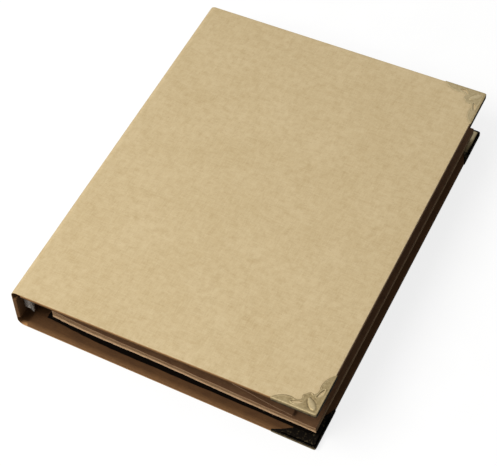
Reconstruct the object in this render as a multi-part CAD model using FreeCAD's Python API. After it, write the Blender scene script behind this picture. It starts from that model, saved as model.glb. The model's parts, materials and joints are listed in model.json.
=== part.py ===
import FreeCAD, Part
import math
import os

# Loose-leaf album: two paper-covered boards and a spine, joined by flexible strips, with a three-ring
# mechanism on the spine, card leaves on its rings and a metal corner on each free corner of the covers.
# Millimetres. While modelling, x runs from the spine's outer face to the fore-edge, y from tail to head
# with 0 at mid height, and z up from the table. Finished pieces move so that x is 0 at mid width.

Vector = FreeCAD.Vector

# covers
COVER_WIDTH = 215.0       # spine face to the boards' fore-edge
COVER_HEIGHT = 280.0      # tail to head
THICKNESS = 37.3          # over both covers, at the spine
FRONT_TILT = 1.88         # degrees that the front cover stands open over the arched leaf
PAPER = 0.3               # kraft paper and lining paper
BOARD = 2.5
JOINT_REACH = 7.0         # spine face to the cover board's near edge
SPINE_REACH = 8.0         # cover's outer face to the spine board's near edge
BACK_ROUNDING = 5.0       # outer radius of the joint under the spine
FRONT_ROUNDING = 4.3
STRIP_GAP = 0.2           # free end of a joint strip to the next panel

# metal corners
CORNER_LEG = 30.0
METAL = 0.5
CORNER_ROUNDING = 1.0

# ring mechanism
RING_PITCH = 108.0
RING_RADIUS = 11.5        # to the middle of the wire
WIRE_RADIUS = 1.3
RING_X = 20.0             # ring centre from the spine face
RING_TIP_GAP = 0.2        # degrees from a ring half's tip to the centre plane
RING_LEG = 5.0            # ring leg from the mechanism's centre line
TENON_RADIUS = 0.9
HOUSING_LENGTH = 264.0
HOUSING_WIDTH = 15.5
HOUSING_SHOULDER = 3.8    # side wall height
HOUSING_CROWN = 6.6       # height at the centre line
HOUSING_SHEET = 0.8
SLOT_INNER = 1.8          # ring slot from the leg's axis, towards the centre line
SLOT_OUTER = 2.1          # and away from it, where the leg swings
SLOT_CLEARANCE = 0.7      # ring wire to the slot's ends
BLADE_LENGTH = 258.0
BLADE_LIFT = 1.0          # blade's back over the spine lining
BLADE_SHEET = 0.9
BLADE_REACH = 6.7         # blade's outer edge from the centre line
BLADE_GAP = 0.1           # blade's inner edge from the centre line
RIVET_Y = 122.0
RIVET_RADIUS = 1.6
RIVET_HEAD = 2.8
RIVET_HEAD_HEIGHT = 0.8
RIVET_HEAD_ROUNDING = 0.5
RIVET_CLEARANCE = 1.0     # round a rivet in the blades

# trigger levers
PIVOT_INSET = 1.0         # trigger pivot from the housing's end
PIVOT_LIFT = 1.5
PIN_RADIUS = 0.8
RUNNING_CLEARANCE = 0.05
HUB_RADIUS = 1.4
HUB_HALF = 2.5            # half the hub's length
ARM_BACK = -1.3           # arm's faces from the pivot, towards the spine
ARM_FRONT = -0.6
ARM_HALF = 1.0            # half the arm's width
ARM_LENGTH = 3.5
NECK_BACK = -0.7
NECK_FRONT = 0.5
TAB_START = 1.5           # tab's inner face from the pivot, beyond the housing's end
TAB_SHEET = 1.2
TAB_BEND = 3.4            # where the tab leans outwards, from the pivot
TAB_LEAN = 1.7
TAB_ROUNDING = 2.5
TAB_WIDTH = 10.0
TAB_TIP = 12.0            # trigger tab's tip from the spine face

# leaves
LEAF_HEIGHT = 266.0
LEAF_CARD = 0.5
HOLE_INSET = 7.1          # hole's centre from the binding edge
HOLE_RADIUS = 4.0
BLACK_LEAVES = 8
TAN_LEAVES = 10
BLACK_START = 19.5        # lowest black leaf's binding edge from the spine face
BLACK_STEP = 0.6          # each black leaf above it hangs further out on the rings
STACK_START = 24.5        # binding edge of every other leaf

# how a group of leaves lies: distance from the binding edge, lowest leaf's height, rise to the next leaf
BLACK_LIE = [(0.0, 9.5, 0.48), (3.0, 9.3, 0.47), (10.5, 8.2, 0.45), (18.5, 6.9, 0.53), (36.5, 4.4, 0.8),
             (75.5, 3.6, 0.94), (120.5, 3.6, 0.67), (165.5, 3.75, 0.518), (187.8, 3.75, 0.509)]
STACK_LIE = [(0.0, 13.5, 0.69), (10.5, 12.1, 0.7), (25.5, 11.0, 0.67), (70.5, 10.95, 0.54),
             (115.5, 9.05, 0.57), (160.5, 7.95, 0.53), (187.8, 7.85, 0.52)]
ARCHED_LIE = [(0.0, 21.1, 0.0), (20.5, 22.6, 0.0), (60.5, 28.2, 0.0), (95.5, 30.0, 0.0),
              (125.5, 25.8, 0.0), (151.5, 19.2, 0.0), (171.3, 16.2, 0.0)]

# derived
PANEL = PAPER + BOARD + PAPER                 # one cover: kraft, board and lining
HALF_HEIGHT = COVER_HEIGHT / 2
RING_Z = THICKNESS / 2
RING_Y = (-RING_PITCH, 0.0, RING_PITCH)
MID_WIDTH = (COVER_WIDTH + METAL) / 2
HOUSING_END = HOUSING_LENGTH / 2


def joint_hinge(rounding):
    """Offset of a joint's hinge from both outer faces, for which the strip keeps its length when flat."""
    strip = JOINT_REACH + SPINE_REACH - 2 * rounding + rounding * math.pi / 2
    return (JOINT_REACH + SPINE_REACH - strip) / 2


BACK_HINGE = joint_hinge(BACK_ROUNDING)
FRONT_HINGE = joint_hinge(FRONT_ROUNDING)


def box(x0, x1, y0, y1, z0, z1):
    return Part.makeBox(x1 - x0, y1 - y0, z1 - z0, Vector(x0, y0, z0))


def cylinder(radius, start, end):
    axis = end - start
    return Part.makeCylinder(radius, axis.Length, start, axis)


def other_end(shape):
    """The same piece at the head instead of the tail."""
    return shape.mirror(Vector(0, 0, 0), Vector(0, 1, 0))


def other_half(shape):
    """The same piece above the mechanism's centre plane instead of below it, or the reverse."""
    return shape.mirror(Vector(0, 0, RING_Z), Vector(0, 0, 1))


def lengthwise(edges, length):
    """Solid along y from a closed outline drawn at y = 0 and centred on it."""
    solid = Part.Face(Part.Wire(edges)).extrude(Vector(0, length, 0))
    solid.translate(Vector(0, -length / 2, 0))
    return solid


def polygon(points):
    return Part.makePolygon(points + points[:1]).Edges


# corner outline, drawn as (distance from the fore-edge, distance from the tail edge)

def corner_point(pair, z):
    return Vector(COVER_WIDTH - pair[0], -HALF_HEIGHT + pair[1], z)


def corner_arc(start, middle, end, z):
    points = [corner_point(pair, z) for pair in (start, middle, end)]
    return Part.Arc(*points).toShape()


def corner_line(start, end, z):
    return Part.makeLine(corner_point(start, z), corner_point(end, z))


def swap(pair):
    return (pair[1], pair[0])


def ornate_outline(z):
    """Outer plate: a leaf-shaped wing along each edge and a lobe between them."""
    heel = (0.0, 0.0)
    tip = (CORNER_LEG, 0.0)
    lobe = (11.2, 11.2)
    wing = [((CORNER_LEG, 0.0), (24.5, 4.5), (18.0, 5.6)), ((18.0, 5.6), (14.8, 5.3), (12.4, 7.0))]
    wing.append(((12.4, 7.0), (12.9, 9.6), lobe))
    edges = [corner_line(heel, tip, z)]
    edges += [corner_arc(*arc, z) for arc in wing]
    edges += [corner_arc(*[swap(pair) for pair in reversed(arc)], z) for arc in reversed(wing)]
    edges.append(corner_line(swap(tip), heel, z))
    return Part.Wire(edges)


def plain_outline(z):
    """Inner plate: a triangle with a hollow long side."""
    tip = (CORNER_LEG, 0.0)
    edges = [corner_line((0.0, 0.0), tip, z)]
    edges.append(corner_arc(tip, (12.0, 12.0), swap(tip), z))
    edges.append(corner_line(swap(tip), (0.0, 0.0), z))
    return Part.Wire(edges)


def window(z):
    """Opening between the wing and the lobe."""
    start = (18.0, 2.6)
    end = (11.2, 5.0)
    return Part.Wire([corner_arc(start, (14.5, 4.2), end, z), corner_arc(end, (13.6, 2.2), start, z)])


def mirrored_window(z):
    start = (2.6, 18.0)
    end = (5.0, 11.2)
    return Part.Wire([corner_arc(start, (4.2, 14.5), end, z), corner_arc(end, (2.2, 13.6), start, z)])


def prism(wire, height):
    return Part.Face(wire).extrude(Vector(0, 0, height))


def metal_corner():
    """Tail corner of the back cover: ornate plate outside, plain plate inside, walls over both edges."""
    plate = prism(ornate_outline(0), METAL)
    plate = plate.cut([prism(window(0), METAL), prism(mirrored_window(0), METAL)])
    inner = prism(plain_outline(PANEL), METAL)
    top = PANEL + METAL
    tail_face = -HALF_HEIGHT - METAL
    fore = box(COVER_WIDTH, COVER_WIDTH + METAL, tail_face, -HALF_HEIGHT + CORNER_LEG, 0, top)
    tail = box(COVER_WIDTH - CORNER_LEG, COVER_WIDTH + METAL, tail_face, -HALF_HEIGHT, 0, top)
    corner = plate.fuse([inner, fore, tail]).removeSplitter()
    upright = [e for e in corner.Edges if is_outer_upright(e)]
    return corner.makeFillet(CORNER_ROUNDING, upright)


def is_outer_upright(edge):
    middle = edge.CenterOfMass
    at_x = abs(middle.x - COVER_WIDTH - METAL) < 0.01
    at_y = abs(middle.y + HALF_HEIGHT + METAL) < 0.01
    return at_x and at_y


def corner_dent():
    """Space that a tail corner's outer plate presses into the cover, and that space with paper round it."""
    plate = prism(ornate_outline(0), METAL)
    wide = Part.Face(ornate_outline(0)).makeOffset2D(PAPER).extrude(Vector(0, 0, METAL + PAPER))
    wide = wide.common(box(0, COVER_WIDTH, -HALF_HEIGHT, HALF_HEIGHT, 0, PANEL))
    return plate, wide


# covers, built as the back cover lying on the table

def cover_panel():
    """Kraft face, board and lining of one cover; the lining turns down over all of the board's edges."""
    kraft = box(JOINT_REACH, COVER_WIDTH, -HALF_HEIGHT, HALF_HEIGHT, 0, PAPER)
    body = box(JOINT_REACH, COVER_WIDTH, -HALF_HEIGHT, HALF_HEIGHT, PAPER, PANEL)
    end = HALF_HEIGHT - PAPER
    board = box(JOINT_REACH + PAPER, COVER_WIDTH - PAPER, -end, end, PAPER, PAPER + BOARD)
    plate, wide = corner_dent()
    plates = [plate, other_end(plate)]
    wides = [wide, other_end(wide)]
    return {
        "board": board.cut(wides),
        "kraft_cover": kraft.fuse(wides).cut(plates).removeSplitter(),
        "lining": body.cut([board] + wides),
    }


def joint_layer(rounding, depth):
    """One layer of paper round the joint under the spine, at a depth under the kraft's outer face."""
    spine_end = SPINE_REACH - STRIP_GAP
    under = depth + PAPER

    def at(x, z):
        return Vector(x, 0, z)

    def turn(radius, start, end):
        middle = rounding - radius * math.sqrt(0.5)
        return Part.Arc(start, at(middle, middle), end).toShape()

    edges = [
        Part.makeLine(at(JOINT_REACH, depth), at(rounding, depth)),
        turn(rounding - depth, at(rounding, depth), at(depth, rounding)),
        Part.makeLine(at(depth, rounding), at(depth, spine_end)),
        Part.makeLine(at(depth, spine_end), at(under, spine_end)),
        Part.makeLine(at(under, spine_end), at(under, rounding)),
        turn(rounding - under, at(under, rounding), at(rounding, under)),
        Part.makeLine(at(rounding, under), at(JOINT_REACH, under)),
        Part.makeLine(at(JOINT_REACH, under), at(JOINT_REACH, depth)),
    ]
    return lengthwise(edges, COVER_HEIGHT)


def cover_pieces(rounding):
    pieces = cover_panel()
    pieces["joint_kraft"] = joint_layer(rounding, 0)
    pieces["joint_lining"] = joint_layer(rounding, PAPER)
    corner = metal_corner()
    pieces["tail_corner"] = corner
    pieces["head_corner"] = other_end(corner)
    return pieces


def back_cover():
    return {"back_" + name: piece for name, piece in cover_pieces(BACK_ROUNDING).items()}


def front_cover():
    """The same cover turned over on top, opened about its own joint."""
    hinge = Vector(FRONT_HINGE, 0, THICKNESS - FRONT_HINGE)
    placed = {}
    for name, piece in cover_pieces(FRONT_ROUNDING).items():
        piece = other_half(piece)
        piece.rotate(hinge, Vector(0, 1, 0), -FRONT_TILT)
        placed["front_" + name] = piece
    return placed


# spine

def rivet_axis(y, x0, x1, radius):
    return cylinder(radius, Vector(x0, y, RING_Z), Vector(x1, y, RING_Z))


def spine_panel():
    low = SPINE_REACH
    high = THICKNESS - SPINE_REACH
    end = HALF_HEIGHT - PAPER
    kraft = box(0, PAPER, -HALF_HEIGHT, HALF_HEIGHT, low, high)
    body = box(PAPER, PANEL, -HALF_HEIGHT, HALF_HEIGHT, low, high)
    board = box(PAPER, PAPER + BOARD, -end, end, low + PAPER, high - PAPER)
    shanks = [rivet_axis(y, PAPER, PANEL, RIVET_RADIUS) for y in (-RIVET_Y, RIVET_Y)]
    sunk = [rivet_axis(y, PAPER, PAPER + RIVET_HEAD_HEIGHT, RIVET_HEAD) for y in (-RIVET_Y, RIVET_Y)]
    return {
        "spine_board": board.cut(shanks + sunk),
        "spine_kraft_cover": kraft,
        "spine_lining": body.cut([board] + shanks),
    }


# ring mechanism

def channel_edges(half_width, shoulder, crown):
    """Arched channel's outline: two walls and an arc, open side on the spine lining."""
    def at(across, height):
        return Vector(PANEL + height, 0, RING_Z + across)

    return [
        Part.makeLine(at(-half_width, 0), at(-half_width, shoulder)),
        Part.Arc(at(-half_width, shoulder), at(0, crown), at(half_width, shoulder)).toShape(),
        Part.makeLine(at(half_width, shoulder), at(half_width, 0)),
        Part.makeLine(at(half_width, 0), at(-half_width, 0)),
    ]


def pivot_point(z):
    return Vector(PANEL + PIVOT_LIFT, -HOUSING_END + PIVOT_INSET, z)


def pivot_cylinder(radius, half_length):
    return cylinder(radius, pivot_point(RING_Z - half_length), pivot_point(RING_Z + half_length))


def ring_housing():
    half = HOUSING_WIDTH / 2
    outer = lengthwise(channel_edges(half, HOUSING_SHOULDER, HOUSING_CROWN), HOUSING_LENGTH)
    sheet = HOUSING_SHEET
    hollow = channel_edges(half - sheet, HOUSING_SHOULDER - sheet, HOUSING_CROWN - sheet)
    housing = outer.cut(lengthwise(hollow, HOUSING_LENGTH))
    blades = PANEL + BLADE_LIFT + BLADE_SHEET
    outside = PANEL + HOUSING_CROWN + sheet
    slot_half = WIRE_RADIUS + SLOT_CLEARANCE
    leg = RING_Z + RING_LEG
    cuts = []
    for y in RING_Y:
        slot = box(blades, outside, y - slot_half, y + slot_half, leg - SLOT_INNER, leg + SLOT_OUTER)
        cuts += [slot, other_half(slot)]
    cuts += [rivet_axis(y, PANEL, outside, RIVET_RADIUS) for y in (-RIVET_Y, RIVET_Y)]
    pin = pivot_cylinder(PIN_RADIUS, half)
    return housing.cut(cuts + [pin, other_end(pin)])


def housing_rivets():
    rivets = []
    for y in (-RIVET_Y, RIVET_Y):
        sunk = rivet_axis(y, PAPER, PAPER + RIVET_HEAD_HEIGHT, RIVET_HEAD)
        shank = rivet_axis(y, PAPER, PANEL + HOUSING_CROWN, RIVET_RADIUS)
        top = PANEL + HOUSING_CROWN
        head = rivet_axis(y, top, top + RIVET_HEAD_HEIGHT, RIVET_HEAD)
        rim = [e for e in head.Edges if e.Closed and abs(e.CenterOfMass.x - top - RIVET_HEAD_HEIGHT) < 0.01]
        head = head.makeFillet(RIVET_HEAD_ROUNDING, rim)
        rivets.append(sunk.fuse([shank, head]).removeSplitter())
    return Part.makeCompound(rivets)


def trigger_pins():
    pin = pivot_cylinder(PIN_RADIUS, HOUSING_WIDTH / 2)
    return Part.makeCompound([pin, other_end(pin)])


def ring_blade():
    """Upper blade: lies under the housing and carries the upper ring halves."""
    back = PANEL + BLADE_LIFT
    front = back + BLADE_SHEET
    end = BLADE_LENGTH / 2
    blade = box(back, front, -end, end, RING_Z + BLADE_GAP, RING_Z + BLADE_REACH)
    cuts = [rivet_axis(y, PANEL, front, RIVET_RADIUS + RIVET_CLEARANCE) for y in (-RIVET_Y, RIVET_Y)]
    leg = RING_Z + RING_LEG
    cuts += [cylinder(TENON_RADIUS, Vector(back, y, leg), Vector(front, y, leg)) for y in RING_Y]
    return blade.cut(cuts)


def ring_half(y):
    """Upper half of one ring: bent wire with a leg down to the blade and a tenon through it."""
    back = PANEL + BLADE_LIFT
    leg_z = RING_Z + RING_LEG
    bend_angle = 180 - math.degrees(math.asin(RING_LEG / RING_RADIUS))
    section = Part.Face(Part.Wire(Part.makeCircle(WIRE_RADIUS, Vector(RING_X + RING_RADIUS, y, RING_Z))))
    centre = Vector(RING_X, y, RING_Z)
    section.rotate(centre, Vector(0, -1, 0), RING_TIP_GAP)
    bow = section.revolve(centre, Vector(0, -1, 0), bend_angle - RING_TIP_GAP)
    bend = Vector(RING_X + RING_RADIUS * math.cos(math.radians(bend_angle)), y, leg_z)
    knuckle = Part.makeSphere(WIRE_RADIUS, bend)
    leg = cylinder(WIRE_RADIUS, Vector(back + BLADE_SHEET, y, leg_z), bend)
    tenon = cylinder(TENON_RADIUS, Vector(back, y, leg_z), bend)
    return bow.fuse([knuckle, leg, tenon]).removeSplitter()


def trigger():
    """Tail lever: an arm under the blades, a hub on the pivot pin and a tab beyond the housing."""
    pivot = pivot_point(RING_Z)
    hub = pivot_cylinder(HUB_RADIUS, HUB_HALF)
    arm = box(pivot.x + ARM_BACK, pivot.x + ARM_FRONT, pivot.y, pivot.y + ARM_LENGTH,
              RING_Z - ARM_HALF, RING_Z + ARM_HALF)
    tab_end = TAB_START + TAB_SHEET
    neck = box(pivot.x + NECK_BACK, pivot.x + NECK_FRONT, pivot.y - tab_end, pivot.y,
               RING_Z - HUB_HALF, RING_Z + HUB_HALF)

    def at(x, outward):
        return Vector(x, pivot.y - outward, RING_Z - TAB_WIDTH / 2)

    root = pivot.x + NECK_BACK
    bend = pivot.x + TAB_BEND
    outline = [at(root, TAB_START), at(bend, TAB_START), at(TAB_TIP, TAB_START + TAB_LEAN),
               at(TAB_TIP, tab_end + TAB_LEAN), at(bend, tab_end), at(root, tab_end)]
    tab = Part.Face(Part.Wire(polygon(outline))).extrude(Vector(0, 0, TAB_WIDTH))
    tips = [e for e in tab.Edges if e.Length < 2 * TAB_SHEET and abs(e.CenterOfMass.x - TAB_TIP) < 0.01]
    tab = tab.makeFillet(TAB_ROUNDING, tips)
    lever = hub.fuse([arm, neck, tab]).removeSplitter()
    return lever.cut(pivot_cylinder(PIN_RADIUS + RUNNING_CLEARANCE, HUB_HALF + 1))


def ring_mechanism():
    blade = ring_blade()
    halves = Part.makeCompound([ring_half(y) for y in RING_Y])
    tail = trigger()
    return {
        "ring_housing": ring_housing(),
        "housing_rivets": housing_rivets(),
        "trigger_pins": trigger_pins(),
        "upper_ring_blade": blade,
        "upper_ring_halves": halves,
        "lower_ring_blade": other_half(blade),
        "lower_ring_halves": other_half(halves),
        "tail_trigger": tail,
        "head_trigger": other_end(tail),
    }


# leaves

def leaf(start, lie, number=0):
    """Punched leaf, counted from the lowest of its group, that bends smoothly as its group lies."""
    points = [Vector(start + x, 0, low + number * rise) for x, low, rise in lie]
    curve = Part.BSplineCurve()
    curve.interpolate(points)
    below = curve.toShape()
    card = Vector(0, 0, LEAF_CARD)
    above = below.translated(card)
    binding = Part.makeLine(points[0] + card, points[0])
    fore = Part.makeLine(points[-1], points[-1] + card)
    sheet = lengthwise(Part.__sortEdges__([below, fore, above, binding]), LEAF_HEIGHT)
    places = [Vector(start + HOLE_INSET, y, 0) for y in RING_Y]
    return sheet.cut([Part.makeCylinder(HOLE_RADIUS, THICKNESS, place) for place in places])


def leaves():
    """Black leaves low on the rings, tan leaves and one brown leaf over them, and a narrower arched leaf."""
    black = [leaf(BLACK_START + n * BLACK_STEP, BLACK_LIE, n) for n in range(BLACK_LEAVES)]
    tan = [leaf(STACK_START, STACK_LIE, n) for n in range(TAN_LEAVES)]
    return {
        "black_leaves": Part.makeCompound(black),
        "tan_leaves": Part.makeCompound(tan),
        "brown_leaf": leaf(STACK_START, STACK_LIE, TAN_LEAVES),
        "upper_leaf": leaf(STACK_START, ARCHED_LIE),
    }


def main():
    os.makedirs("parts", exist_ok=True)
    pieces = {}
    for group in (back_cover(), spine_panel(), front_cover(), ring_mechanism(), leaves()):
        pieces.update(group)
    for name, shape in pieces.items():
        shape.translate(Vector(-MID_WIDTH, 0, 0))
        shape.exportStep("parts/" + name + ".step")


main()
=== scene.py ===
import functools
import json
import math

import bmesh
import bpy
import numpy as np
from mathutils import Matrix, Vector, geometry, noise


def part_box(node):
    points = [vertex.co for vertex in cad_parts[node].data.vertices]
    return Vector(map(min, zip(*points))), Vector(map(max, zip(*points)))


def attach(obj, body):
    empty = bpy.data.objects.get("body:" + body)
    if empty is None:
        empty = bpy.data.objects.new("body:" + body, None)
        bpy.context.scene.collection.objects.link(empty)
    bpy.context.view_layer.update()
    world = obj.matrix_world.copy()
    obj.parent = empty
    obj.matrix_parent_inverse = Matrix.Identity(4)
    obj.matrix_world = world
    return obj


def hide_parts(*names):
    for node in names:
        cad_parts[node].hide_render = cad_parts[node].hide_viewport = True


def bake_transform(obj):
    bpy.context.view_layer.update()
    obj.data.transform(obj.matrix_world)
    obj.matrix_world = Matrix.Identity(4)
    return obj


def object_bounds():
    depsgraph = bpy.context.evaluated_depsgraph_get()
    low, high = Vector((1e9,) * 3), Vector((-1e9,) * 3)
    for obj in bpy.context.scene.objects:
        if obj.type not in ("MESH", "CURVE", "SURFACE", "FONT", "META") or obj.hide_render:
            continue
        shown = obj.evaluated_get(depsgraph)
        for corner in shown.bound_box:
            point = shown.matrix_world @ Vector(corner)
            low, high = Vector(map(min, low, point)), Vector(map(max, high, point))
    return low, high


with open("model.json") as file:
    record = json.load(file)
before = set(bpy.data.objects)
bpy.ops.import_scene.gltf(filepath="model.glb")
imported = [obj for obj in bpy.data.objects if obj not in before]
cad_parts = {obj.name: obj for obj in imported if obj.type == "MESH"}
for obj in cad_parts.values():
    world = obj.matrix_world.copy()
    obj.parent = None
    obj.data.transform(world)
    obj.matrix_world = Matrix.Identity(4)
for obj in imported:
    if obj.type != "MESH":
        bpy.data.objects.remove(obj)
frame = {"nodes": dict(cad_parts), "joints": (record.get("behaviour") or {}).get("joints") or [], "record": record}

# Shapes are worked out in millimetres in the part's frame and stored in metres.
MM = 0.001

cad_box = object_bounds()


def mm_box(node):
    low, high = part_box(node)
    return low / MM, high / MM


def joint_place(name):
    joint = next(j for j in frame["joints"] if j["name"] == name)
    return Vector(joint["pos_m"]) / MM


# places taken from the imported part
spine_low, spine_high = mm_box("spine_kraft_cover")
board_low, board_high = mm_box("back_board")
cover_low, cover_high = mm_box("back_kraft_cover")
SPINE_X = spine_low.x
SPINE_Z = spine_low.z                    # spine board's near edge over the cover's outer face
THICKNESS = spine_low.z + spine_high.z   # over both covers at the spine
MIDDLE_Z = THICKNESS / 2
JOINT_X = cover_low.x                    # cover board's near edge
FORE_X = cover_high.x
HALF = cover_high.y                      # half the cover's height
PAPER = board_low.z
PANEL = mm_box("back_lining")[1].z       # kraft face to the lining's face
FRONT_HINGE = joint_place("cover_open")

# the front cover stands open by the angle that its board's box shows
board_run = board_high.x - board_low.x
board_rise = mm_box("front_board")[1].z - mm_box("front_board")[0].z - (board_high.z - board_low.z)
FRONT_TILT = math.asin(board_rise / board_run)

# paper work
BACK_ROUNDING = 5.0
FRONT_ROUNDING = 4.3
JOINT_STEPS = 10
EDGE_ROUNDING = 0.55
RIM_DROP = 0.12            # kraft paper's rim bends this far towards the board
RIM_WIDTH = 0.9
LINING = 0.8 * PAPER       # lining paper's thickness
LINING_SLACK = 0.6         # lining's waves over the kraft paper's
GROOVE_LINING = 0.62       # lining's face over the kraft face in the joint
GROOVE_FOOT = 1.1          # where the lining leaves the groove's floor, over the kraft face
FOLD_LOW = 0.55            # lining's fold over a board's edge, below the lining's face
FOLD_HIGH = 0.15
TURN_IN = 0.8              # fore-edge turn-in on the lining's face, beyond the rounding
SIDE_MARGIN = 0.4          # turn-in's ends from the tail and head edges
WAVE_HEIGHT = 0.07
WAVE_LENGTH = 45.0
WAVE_FADE = 12.0

# steps between the points of the paper sheets
FINE_STEP = 1.0
LINING_STEP = 5.0
COARSE_STEP = 8.0

# metal corners
CORNER_LEG = 30.0
METAL = 0.5
INNER_METAL = 0.8 * METAL
RELIEF = 0.4
FRONT_PROUD = 0.35
PLATE_STEP = 0.34          # between the points of the stamped plate
PLATE_EDGE_STEP = 0.4
INNER_STEP = 0.8           # between the points of the plain inner plate
WALL_STEP = 1.2
WALL_TURNS = 6

# stamped pattern, with heights as shares of the relief
PLATE_LEVEL = 0.3
RIM_RIDGE = 0.7
RIM_RIDGE_PLACE = 0.75
WINDOW_RIDGE = 0.75
WINDOW_RIDGE_PLACE = 0.45
RIDGE_WIDTH = 0.3
PETAL_START = 3.4
PETAL_END = 12.6
PETAL_WIDTH = 2.1
PETAL_HEIGHT = 0.95
GROOVE_DEPTH = 0.45
WING_START = 18.6          # the hatched wings start this far from the corner
HATCH_PITCH = 1.45
HATCH_HEIGHT = 0.55
SCROLL_PITCH = 1.9
SCROLL_HEIGHT = 0.45

# tones of the metal, from painted shade to rubbed bright; the walls' rims, the head corners and the head's inner
# plate get painted highlights
PAINTED_SHADE = 0.0
DULL = 0.45
RIM_HIGHLIGHT = 0.55
RUBBED_AND_HIGHLIGHT = 0.9
# head corners' plates painted lighter: a painted reflection
HEAD_HIGHLIGHT = 0.2

# largest angles between faces that still look smooth, in degrees
PAPER_SMOOTH = 40.0
METAL_SMOOTH = 35.0
LEAF_SMOOTH = 30.0

# leaves
LEAF_CARD = 0.46
RIPPLE = 0.01
RIPPLE_LENGTH = 50.0
WIRE_RADIUS = 1.3
HOLE_ZONE = 6.0            # half the square of finer mesh round a hole
HOLE_STEP = 1.5

# tones of the leaves' cut edges: lit, in painted shade under the front cover, and in deeper painted shade at the
# fore-edge
LIT_CUT = 1.0
SHADED_CUT = 0.5
FORE_CUT = 0.25
LIT_LEAVES = 4           # lowest leaves of the stack, whose tail and head edges stay lit; the leaves above get painted shade


# mesh helpers

def make_object(name, vertices, faces, smooth_angle):
    mesh = bpy.data.meshes.new(name)
    corners = [tuple(v) for v in np.asarray(vertices) * MM]
    mesh.from_pydata(corners, [], [tuple(int(i) for i in face) for face in faces])
    mesh.update()
    edit = bmesh.new()
    edit.from_mesh(mesh)
    bmesh.ops.recalc_face_normals(edit, faces=edit.faces)
    edit.to_mesh(mesh)
    edit.free()
    mesh.shade_smooth()
    mesh.set_sharp_from_angle(angle=math.radians(smooth_angle))
    piece = bpy.data.objects.new(name, mesh)
    bpy.context.scene.collection.objects.link(piece)
    return piece


class Builder:
    """Collects closed shells into one mesh."""

    def __init__(self):
        self.vertices = []
        self.faces = []
        self.cut = []

    def add(self, vertices, faces, cut_tones=()):
        """Takes in one shell, whose last faces are a sheet's cut edges and have these tones."""
        base = len(self.vertices)
        self.vertices += [tuple(v) for v in vertices]
        self.faces += [[base + i for i in face] for face in faces]
        self.cut += [0.0] * (len(faces) - len(cut_tones)) + list(cut_tones)

    def make(self, name, smooth_angle):
        piece = make_object(name, self.vertices, self.faces, smooth_angle)
        cut = piece.data.attributes.new("cut", "FLOAT", "FACE")
        cut.data.foreach_set("value", self.cut)
        return piece


def grid_normals(grid):
    along = np.gradient(grid, axis=0)
    across = np.gradient(grid, axis=1)
    normals = np.cross(along, across)
    return normals / np.maximum(np.linalg.norm(normals, axis=2, keepdims=True), 1e-12)


def closed_sheet(grid, thickness):
    """Vertices and faces of a closed sheet: the given face and its copy set back along the normals."""
    rows, columns = grid.shape[:2]
    back = grid - grid_normals(grid) * thickness
    vertices = np.concatenate([grid.reshape(-1, 3), back.reshape(-1, 3)])
    offset = rows * columns
    faces = []
    for i in range(rows - 1):
        for j in range(columns - 1):
            a = i * columns + j
            quad = [a, a + columns, a + columns + 1, a + 1]
            faces.append(quad)
            faces.append([offset + k for k in reversed(quad)])
    rim = [(0, j) for j in range(columns)] + [(i, columns - 1) for i in range(1, rows)]
    rim += [(rows - 1, j) for j in range(columns - 2, -1, -1)] + [(i, 0) for i in range(rows - 2, 0, -1)]
    loop = [i * columns + j for i, j in rim]
    for a, b in zip(loop, loop[1:] + loop[:1]):
        faces.append([a, b, offset + b, offset + a])
    return vertices, faces


def open_edges(polygons):
    """Directed edges that only one of the polygons has."""
    edges = dict.fromkeys(pair for p in polygons for pair in zip(p, [*p[1:], p[0]]))
    return [(a, b) for a, b in edges if (b, a) not in edges]


def smooth_step(t):
    t = np.clip(t, 0.0, 1.0)
    return t * t * (3 - 2 * t)


def spaced(start, end, step):
    count = max(2, int(round(abs(end - start) / step)) + 1)
    return list(np.linspace(start, end, count))


# covers: a station is a place along the paper, from mid spine to the fore-edge, as
# (x, z, inward x, inward z); it is drawn for the back cover and turned over for the front

def joint_stations(rounding):
    """Round the joint on the kraft face, from the spine to the cover."""
    stations = []
    for k in range(JOINT_STEPS + 1):
        angle = math.pi + (math.pi / 2) * k / JOINT_STEPS
        dx, dz = math.cos(angle), math.sin(angle)
        stations.append((SPINE_X + rounding + dx * rounding, rounding + dz * rounding, -dx, -dz))
    return stations


def face_positions():
    """Distances along x of the cover's stations, closer together near the joint and the metal corners."""
    near = [JOINT_X - 0.4, JOINT_X, JOINT_X + 0.4, JOINT_X + 1.0, JOINT_X + 3.0]
    middle = spaced(JOINT_X + COARSE_STEP, FORE_X - CORNER_LEG - 6.0, COARSE_STEP)
    corner = spaced(FORE_X - CORNER_LEG - 2.0, FORE_X - EDGE_ROUNDING, FINE_STEP)
    return near + middle + corner


def cross_positions(half, edge):
    """Distances along y, tail to head, of the points across a cover's face."""
    rim = [half - edge * k / 3 for k in range(3)]
    corner = spaced(half - edge, half - CORNER_LEG - 2.0, FINE_STEP)
    reach = half - CORNER_LEG - COARSE_STEP
    upper = rim + corner + spaced(reach, -reach, COARSE_STEP)[:-1]
    return sorted(set([round(-y, 4) for y in upper] + [round(y, 4) for y in upper]))


def in_front(point):
    """The same place on the front cover and its half of the spine, tilted as far as the joint turns it."""
    x, y, z = point[0], point[1], THICKNESS - point[2]
    w = bend_share(x, z)
    c, s = math.cos(FRONT_TILT * w), math.sin(FRONT_TILT * w)
    dx, dz = x - FRONT_HINGE.x, z - FRONT_HINGE.z
    return (FRONT_HINGE.x + dx * c - dz * s, y, FRONT_HINGE.z + dx * s + dz * c)


def bend_zone(front):
    """Ends of the zone in which the joint's paper bends: spine board's edge and cover board's edge."""
    start = Vector((SPINE_X + PANEL, 0, SPINE_Z))
    end = Vector((JOINT_X, 0, PANEL))
    if front:
        start.z = THICKNESS - start.z
        end.z = THICKNESS - end.z
    return start, end


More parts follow.
